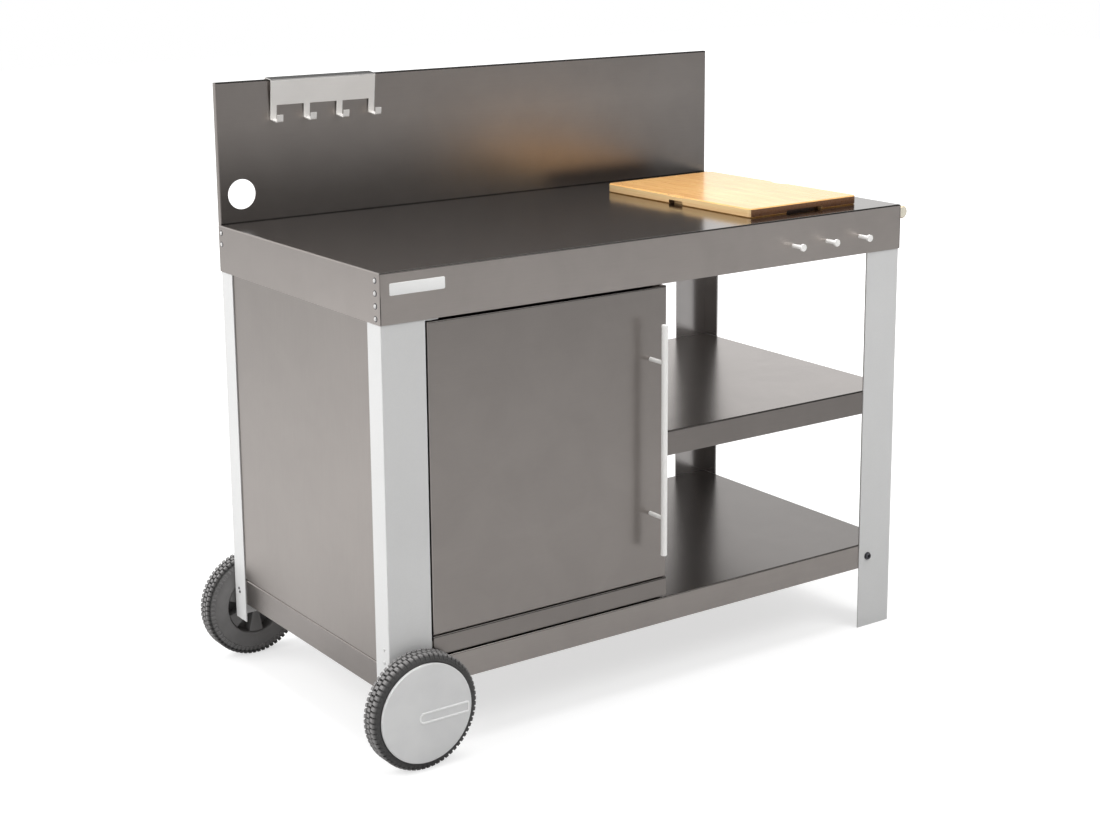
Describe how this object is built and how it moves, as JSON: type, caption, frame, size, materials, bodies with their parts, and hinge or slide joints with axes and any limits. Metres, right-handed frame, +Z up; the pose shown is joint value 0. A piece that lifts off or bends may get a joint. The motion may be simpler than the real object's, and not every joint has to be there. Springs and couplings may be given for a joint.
{
  "type": "grill cart",
  "caption": "Folded steel outdoor kitchen cart: worktop, backsplash, cabinet with hinged door, open shelves, wheels at one end, tow handle, hook rail and loose cutting board.",
  "frame": {"origin": "middle of the object's footprint, on the floor under the wheels and the right legs", "axes": "+X from the wheels towards the tow handle, +Y from the door towards the backsplash, +Z up"},
  "size_m": [1.3144, 0.704, 1.1497],
  "materials": {
    "stainless": "dark polished stainless steel sheet with fine brushing",
    "shelf_steel": "light brushed steel sheet",
    "leg_paint": "light grey powder coat",
    "dark_steel": "dark brushed steel",
    "handle_steel": "polished steel",
    "zinc": "zinc plated",
    "nylon": "moulded nylon",
    "wheel_plastic": "dark grey moulded plastic with a fine grain",
    "cap_silver": "silver moulded cap",
    "handle_wood": "pale turned hardwood",
    "bamboo": "oiled bamboo strips"
  },
  "bodies": {
    "cart": {"worktop": "stainless", "backsplash": "stainless", "side_panel": "stainless", "divider": "stainless", "cabinet_back": "stainless", "door_sill": "stainless", "bottom_shelf": "stainless", "middle_shelf": "shelf_steel", "leg_front_left": "leg_paint", "leg_rear_left": "leg_paint", "leg_front_right": "leg_paint", "leg_rear_right": "leg_paint", "upright_front_lower": "dark_steel", "upright_front_upper": "dark_steel", "upright_rear_lower": "dark_steel", "upright_rear_upper": "dark_steel", "tow_standoffs": "handle_steel", "pegs": "handle_steel", "hinge_pins": "zinc", "hinge_bracket": "zinc", "axle": "zinc", "axle_washers": "zinc", "axle_retainers": "zinc", "magnet_catch": "nylon", "tow_handle": "handle_wood"},
    "door": {"door": "stainless", "door_handle": "handle_steel", "door_handle_posts": "handle_steel", "door_bushes": "nylon", "catch_striker": "zinc"},
    "front_wheel": {"wheel_front": "wheel_plastic", "wheel_front_cap": "cap_silver"},
    "rear_wheel": {"wheel_rear": "wheel_plastic", "wheel_rear_cap": "cap_silver"},
    "board": {"cutting_board": "bamboo"},
    "hooks": {"hook_rail": "shelf_steel"}
  },
  "joints": [
    {"name": "door_hinge", "type": "hinge", "parent": "cart", "child": "door", "pos_m": [-0.49825, -0.2925, 0.5], "axis": [0, 0, -1], "range_deg": [0, 105]},
    {"name": "front_wheel_spin", "type": "hinge", "parent": "cart", "child": "front_wheel", "pos_m": [-0.55225, -0.326, 0.105], "axis": [0, 1, 0], "continuous": true},
    {"name": "rear_wheel_spin", "type": "hinge", "parent": "cart", "child": "rear_wheel", "pos_m": [-0.55225, 0.326, 0.105], "axis": [0, 1, 0], "continuous": true},
    {"name": "board_lift", "type": "slide", "parent": "cart", "child": "board", "axis": [0, 0, 1], "range_m": [0, 0.15]},
    {"name": "hooks_lift", "type": "slide", "parent": "cart", "child": "hooks", "axis": [0, 0, 1], "range_m": [0, 0.06]}
  ]
}
